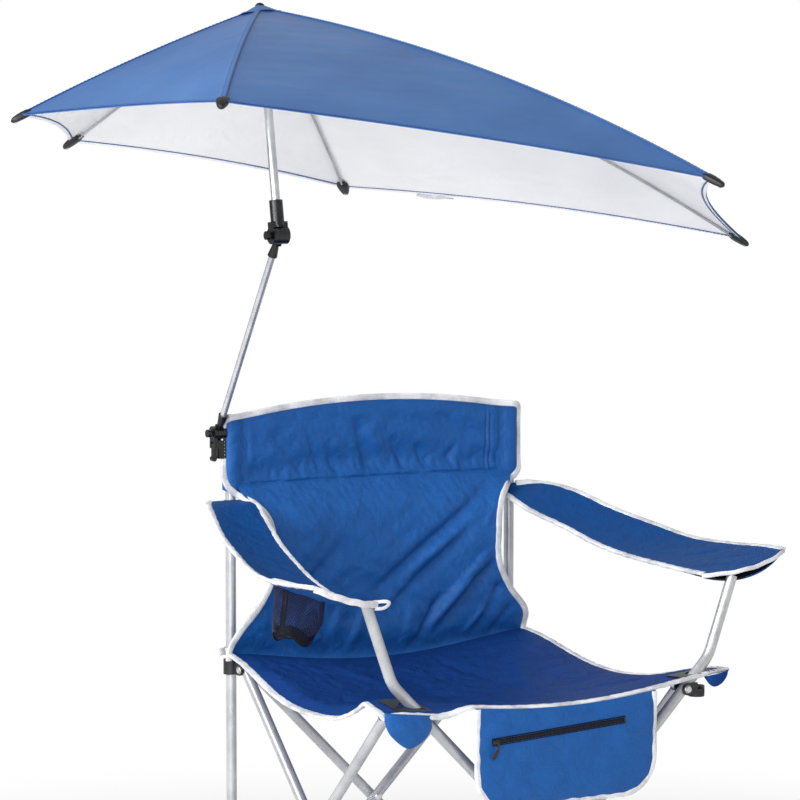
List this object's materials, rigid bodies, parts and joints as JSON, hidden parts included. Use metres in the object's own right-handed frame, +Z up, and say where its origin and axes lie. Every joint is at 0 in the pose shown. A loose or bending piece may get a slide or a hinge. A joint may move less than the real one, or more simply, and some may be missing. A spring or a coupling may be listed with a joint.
{
  "type": "folding camp chair with clamped umbrella",
  "caption": "Folding sling chair on scissor frames, with padded armrests, net cup holder, zipped pouch and a tilting umbrella clamped to a rear post.",
  "frame": {"origin": "on the floor, under the middle of the whole object's box", "axes": "+Z up; the chair faces -Y; +X toward the sitter's left"},
  "size_m": [1.144, 1.1364, 1.5086],
  "materials": {
    "frame_tube": "satin",
    "bracket": "matte",
    "seat_cloth": "woven",
    "blue_cloth": "woven",
    "net": "open net",
    "zip_tape": "woven",
    "zip_metal": "gloss",
    "joint_plastic": "gloss",
    "umbrella_tube": "satin",
    "rib_steel": "satin",
    "canopy_cloth": "coated"
  },
  "bodies": {
    "chair_base": {"post_rear_right": "frame_tube", "foot_rear_right": "bracket", "back": "blue_cloth", "clamp_body": "joint_plastic"},
    "right_rising": {"side_bar_rising_right": "frame_tube"},
    "right_falling": {"side_bar_falling_right": "frame_tube"},
    "front_right_foot": {"foot_front_right": "bracket"},
    "right_slide": {"slide_right": "bracket"},
    "right_corner": {"corner_hub_right": "bracket", "corner_pocket_right": "blue_cloth", "pouch": "blue_cloth", "zip_tape": "zip_tape"},
    "front_rising": {"front_bar_left_arm": "frame_tube"},
    "front_falling": {"front_bar_right_arm": "frame_tube"},
    "rear_rising": {"rear_bar_rising": "frame_tube"},
    "rear_falling": {"rear_bar_falling": "frame_tube"},
    "left_post": {"post_rear_left": "frame_tube", "foot_rear_left": "bracket"},
    "left_slide": {"slide_left": "bracket"},
    "left_rising": {"side_bar_rising_left": "frame_tube"},
    "left_falling": {"side_bar_falling_left": "frame_tube"},
    "front_left_foot": {"foot_front_left": "bracket"},
    "left_corner": {"corner_hub_left": "bracket", "corner_pocket_left": "blue_cloth"},
    "seat_rear": {"seat_rear_half": "seat_cloth"},
    "seat_front": {"seat_front_half": "seat_cloth"},
    "right_armrest": {"armrest_right": "blue_cloth", "cup_holder": "net"},
    "left_armrest": {"armrest_left": "blue_cloth"},
    "zip": {"zip_slider": "zip_metal"},
    "jaw": {"clamp_jaw": "joint_plastic"},
    "lever": {"clamp_lever": "joint_plastic"},
    "low_button": {"lower_button": "joint_plastic"},
    "arm": {"lower_yoke": "joint_plastic", "arm_tube": "umbrella_tube", "upper_knuckle": "joint_plastic"},
    "socket": {"mast_socket": "joint_plastic"},
    "high_button": {"upper_button": "joint_plastic"},
    "mast_head": {"mast": "umbrella_tube", "crown": "joint_plastic", "crown_cap": "joint_plastic"},
    "runner_body": {"runner": "joint_plastic"},
    "rib_body_front_right": {"rib_front_right": "rib_steel", "canopy_front": "canopy_cloth"},
    "stretcher_body_front_right": {"stretcher_front_right": "rib_steel"},
    "rib_body_front_left": {"rib_front_left": "rib_steel", "canopy_left": "canopy_cloth"},
    "stretcher_body_front_left": {"stretcher_front_left": "rib_steel"},
    "rib_body_side_left": {"rib_side_left": "rib_steel", "canopy_rear_left": "canopy_cloth"},
    "stretcher_body_side_left": {"stretcher_side_left": "rib_steel"},
    "rib_body_rear_left": {"rib_rear_left": "rib_steel", "canopy_rear": "canopy_cloth"},
    "stretcher_body_rear_left": {"stretcher_rear_left": "rib_steel"},
    "rib_body_rear_right": {"rib_rear_right": "rib_steel", "canopy_rear_right": "canopy_cloth"},
    "stretcher_body_rear_right": {"stretcher_rear_right": "rib_steel"},
    "rib_body_side_right": {"rib_side_right": "rib_steel", "canopy_right": "canopy_cloth"},
    "stretcher_body_side_right": {"stretcher_side_right": "rib_steel"}
  },
  "joints": [
    {"name": "frame_fold", "type": "hinge", "parent": "chair_base", "child": "right_rising", "pos_m": [-0.19355, 0.33093, 0.055], "axis": [-1, 0, 0], "range_deg": [0, 39.4], "deforming": ["seat_rear_half", "seat_front_half", "back", "armrest_right", "armrest_left", "cup_holder", "pouch", "zip_tape", "zip_slider", "corner_pocket_right", "corner_pocket_left"]},
    {"name": "right_scissor", "type": "hinge", "parent": "right_rising", "child": "right_falling", "pos_m": [-0.1848, 0.10594, 0.28], "axis": [-1, 0, 0], "range_deg": [-78.8, 0]},
    {"name": "right_front_foot_turn", "type": "hinge", "parent": "right_falling", "child": "front_right_foot", "pos_m": [-0.17605, -0.11907, 0.055], "axis": [-1, 0, 0], "range_deg": [0, 39.4]},
    {"name": "right_slide_turn", "type": "hinge", "parent": "right_falling", "child": "right_slide", "pos_m": [-0.17605, 0.33093, 0.505], "axis": [-1, 0, 0], "range_deg": [0, 39.4]},
    {"name": "right_corner_turn", "type": "hinge", "parent": "right_rising", "child": "right_corner", "pos_m": [-0.19355, -0.11907, 0.505], "axis": [-1, 0, 0], "range_deg": [-39.4, 0]},
    {"name": "front_rise", "type": "hinge", "parent": "front_right_foot", "child": "front_rising", "pos_m": [-0.1548, -0.15782, 0.055], "axis": [0, -1, 0], "range_deg": [0, 39.4]},
    {"name": "front_scissor", "type": "hinge", "parent": "front_rising", "child": "front_falling", "pos_m": [0.0702, -0.14907, 0.28], "axis": [0, -1, 0], "range_deg": [-78.8, 0]},
    {"name": "rear_rise", "type": "hinge", "parent": "chair_base", "child": "rear_rising", "pos_m": [-0.1548, 0.35219, 0.055], "axis": [0, -1, 0], "range_deg": [0, 39.4]},
    {"name": "rear_scissor", "type": "hinge", "parent": "rear_rising", "child": "rear_falling", "pos_m": [0.0702, 0.36094, 0.28], "axis": [0, -1, 0], "range_deg": [-78.8, 0]},
    {"name": "left_post_turn", "type": "hinge", "parent": "rear_falling", "child": "left_post", "pos_m": [0.2952, 0.36968, 0.055], "axis": [0, -1, 0], "range_deg": [0, 39.4]},
    {"name": "left_slide_turn", "type": "hinge", "parent": "rear_rising", "child": "left_slide", "pos_m": [0.2952, 0.35219, 0.505], "axis": [0, -1, 0], "range_deg": [-39.4, 0]},
    {"name": "left_rise", "type": "hinge", "parent": "left_post", "child": "left_rising", "pos_m": [0.31645, 0.33093, 0.055], "axis": [-1, 0, 0], "range_deg": [0, 39.4]},
    {"name": "left_scissor", "type": "hinge", "parent": "left_rising", "child": "left_falling", "pos_m": [0.3252, 0.10594, 0.28], "axis": [-1, 0, 0], "range_deg": [-78.8, 0]},
    {"name": "left_front_foot_turn", "type": "hinge", "parent": "left_falling", "child": "front_left_foot", "pos_m": [0.33395, -0.11907, 0.055], "axis": [-1, 0, 0], "range_deg": [0, 39.4]},
    {"name": "left_corner_turn", "type": "hinge", "parent": "left_rising", "child": "left_corner", "pos_m": [0.31645, -0.11907, 0.505], "axis": [-1, 0, 0], "range_deg": [-39.4, 0]},
    {"name": "seat_rear_drop", "type": "hinge", "parent": "right_slide", "child": "seat_rear", "pos_m": [0.0702, 0.33793, 0.515], "axis": [1, 0, 0], "range_deg": [0, 90]},
    {"name": "seat_front_rise", "type": "hinge", "parent": "seat_rear", "child": "seat_front", "pos_m": [0.0702, 0.08593, 0.491], "axis": [-1, 0, 0], "range_deg": [0, 180]},
    {"name": "right_armrest_fold", "type": "hinge", "parent": "chair_base", "child": "right_armrest", "pos_m": [-0.1978, 0.35594, 0.765], "axis": [-0.8118, -0.035, 0.5829], "range_deg": [0, 60.2]},
    {"name": "left_armrest_fold", "type": "hinge", "parent": "left_post", "child": "left_armrest", "pos_m": [0.3382, 0.35594, 0.765], "axis": [-0.8118, 0.035, -0.5829], "range_deg": [0, 60.2]},
    {"name": "zip_pull", "type": "slide", "parent": "right_corner", "child": "zip", "axis": [0.9984, 0, 0.0558], "range_m": [0, 0.218]},
    {"name": "clamp_lever_turn", "type": "hinge", "parent": "chair_base", "child": "lever", "pos_m": [-0.2128, 0.36194, 0.851], "axis": [0, 1, 0], "range_deg": [0, 90]},
    {"name": "clamp_jaw_open", "type": "hinge", "parent": "chair_base", "child": "jaw", "pos_m": [-0.18525, 0.37408, 0.843], "axis": [0, 0, 1], "range_deg": [0, 9]},
    {"name": "lower_button_press", "type": "slide", "parent": "chair_base", "child": "low_button", "axis": [1, 0, 0], "range_m": [0, 0.0025], "stiffness_N_per_m": 300, "springref_m": -0.002},
    {"name": "arm_tilt", "type": "hinge", "parent": "chair_base", "child": "arm", "pos_m": [-0.2058, 0.36194, 0.868], "axis": [-1, 0, 0], "range_deg": [-20, 60]},
    {"name": "mast_tilt", "type": "hinge", "parent": "arm", "child": "socket", "pos_m": [-0.2058, 0.17063, 1.17415], "axis": [-1, 0, 0], "range_deg": [-30, 45]},
    {"name": "upper_button_press", "type": "slide", "parent": "socket", "child": "high_button", "axis": [1, 0, 0], "range_m": [0, 0.0025], "stiffness_N_per_m": 300, "springref_m": -0.002},
    {"name": "mast_swivel", "type": "hinge", "parent": "socket", "child": "mast_head", "pos_m": [-0.2058, 0.17063, 1.17415], "axis": [0, 0.1616, 0.9869], "range_deg": [-180, 180]},
    {"name": "canopy_close", "type": "hinge", "parent": "mast_head", "child": "rib_body_front_right", "pos_m": [-0.20156, 0.21148, 1.49964], "axis": [0.9455, 0.3213, -0.0526], "range_deg": [0, 60], "deforming": ["canopy_front", "canopy_left", "canopy_rear_left", "canopy_rear", "canopy_rear_right", "canopy_right"]},
    {"name": "stretcher_turn_front_right", "type": "hinge", "parent": "rib_body_front_right", "child": "stretcher_body_front_right", "pos_m": [-0.16524, 0.10117, 1.47878], "axis": [0.9455, 0.3213, -0.0526], "range_deg": [-120, 0]},
    {"name": "runner_travel", "type": "hinge", "parent": "stretcher_body_front_right", "child": "runner_body", "pos_m": [-0.20156, 0.19906, 1.42381], "axis": [0.9455, 0.3213, -0.0526], "range_deg": [0, 60]},
    {"name": "rib_turn_front_left", "type": "hinge", "parent": "mast_head", "child": "rib_body_front_left", "pos_m": [-0.19291, 0.22191, 1.49793], "axis": [0.1323, 0.9782, -0.1602], "range_deg": [0, 60]},
    {"name": "stretcher_turn_front_left", "type": "hinge", "parent": "rib_body_front_left", "child": "stretcher_body_front_left", "pos_m": [-0.08232, 0.20114, 1.4624], "axis": [0.1323, 0.9782, -0.1602], "range_deg": [-120, 0]},
    {"name": "rib_turn_side_left", "type": "hinge", "parent": "mast_head", "child": "rib_body_side_left", "pos_m": [-0.19705, 0.2331, 1.4961], "axis": [-0.7396, 0.6642, -0.1088], "range_deg": [0, 60]},
    {"name": "stretcher_turn_side_left", "type": "hinge", "parent": "rib_body_side_left", "child": "stretcher_body_side_left", "pos_m": [-0.12196, 0.30833, 1.44485], "axis": [-0.7396, 0.6642, -0.1088], "range_deg": [-120, 0]},
    {"name": "rib_turn_rear_left", "type": "hinge", "parent": "mast_head", "child": "rib_body_rear_left", "pos_m": [-0.21164, 0.23507, 1.49578], "axis": [-0.8934, -0.4434, 0.0726], "range_deg": [0, 60]},
    {"name": "stretcher_turn_rear_left", "type": "hinge", "parent": "rib_body_rear_left", "child": "stretcher_body_rear_left", "pos_m": [-0.26177, 0.32723, 1.44176], "axis": [-0.8934, -0.4434, 0.0726], "range_deg": [-120, 0]},
    {"name": "rib_turn_rear_right", "type": "hinge", "parent": "mast_head", "child": "rib_body_rear_right", "pos_m": [-0.21834, 0.227, 1.4971], "axis": [-0.2639, -0.9519, 0.1559], "range_deg": [0, 60]},
    {"name": "stretcher_turn_rear_right", "type": "hinge", "parent": "rib_body_rear_right", "child": "stretcher_body_rear_right", "pos_m": [-0.32595, 0.24984, 1.45443], "axis": [-0.2639, -0.9519, 0.1559], "range_deg": [-120, 0]},
    {"name": "rib_turn_side_right", "type": "hinge", "parent": "mast_head", "child": "rib_body_side_right", "pos_m": [-0.21349, 0.21327, 1.49935], "axis": [0.8059, -0.5842, 0.0957], "range_deg": [0, 60]},
    {"name": "stretcher_turn_side_right", "type": "hinge", "parent": "rib_body_side_right", "child": "stretcher_body_side_right", "pos_m": [-0.27954, 0.11833, 1.47597], "axis": [0.8059, -0.5842, 0.0957], "range_deg": [-120, 0]}
  ],
  "couplings": [
    {"joint": "right_scissor", "follows": "frame_fold", "ratio": -2},
    {"joint": "right_front_foot_turn", "follows": "frame_fold", "ratio": 1},
    {"joint": "right_slide_turn", "follows": "frame_fold", "ratio": 1},
    {"joint": "right_corner_turn", "follows": "frame_fold", "ratio": -1},
    {"joint": "front_rise", "follows": "frame_fold", "ratio": 1},
    {"joint": "front_scissor", "follows": "frame_fold", "ratio": -2},
    {"joint": "rear_rise", "follows": "frame_fold", "ratio": 1},
    {"joint": "rear_scissor", "follows": "frame_fold", "ratio": -2},
    {"joint": "left_post_turn", "follows": "frame_fold", "ratio": 1},
    {"joint": "left_slide_turn", "follows": "frame_fold", "ratio": -1},
    {"joint": "left_rise", "follows": "frame_fold", "ratio": 1},
    {"joint": "left_scissor", "follows": "frame_fold", "ratio": -2},
    {"joint": "left_front_foot_turn", "follows": "frame_fold", "ratio": 1},
    {"joint": "left_corner_turn", "follows": "frame_fold", "ratio": -1},
    {"joint": "seat_rear_drop", "follows": "frame_fold", "ratio": 2.2843},
    {"joint": "seat_front_rise", "follows": "frame_fold", "ratio": 4.5685},
    {"joint": "right_armrest_fold", "follows": "frame_fold", "ratio": 1.5279},
    {"joint": "left_armrest_fold", "follows": "frame_fold", "ratio": 1.5279},
    {"joint": "clamp_jaw_open", "follows": "clamp_lever_turn", "ratio": 0.1},
    {"joint": "stretcher_turn_front_right", "follows": "canopy_close", "ratio": -2},
    {"joint": "runner_travel", "follows": "canopy_close", "ratio": 1},
    {"joint": "rib_turn_front_left", "follows": "canopy_close", "ratio": 1},
    {"joint": "stretcher_turn_front_left", "follows": "canopy_close", "ratio": -2},
    {"joint": "rib_turn_side_left", "follows": "canopy_close", "ratio": 1},
    {"joint": "stretcher_turn_side_left", "follows": "canopy_close", "ratio": -2},
    {"joint": "rib_turn_rear_left", "follows": "canopy_close", "ratio": 1},
    {"joint": "stretcher_turn_rear_left", "follows": "canopy_close", "ratio": -2},
    {"joint": "rib_turn_rear_right", "follows": "canopy_close", "ratio": 1},
    {"joint": "stretcher_turn_rear_right", "follows": "canopy_close", "ratio": -2},
    {"joint": "rib_turn_side_right", "follows": "canopy_close", "ratio": 1},
    {"joint": "stretcher_turn_side_right", "follows": "canopy_close", "ratio": -2}
  ]
}
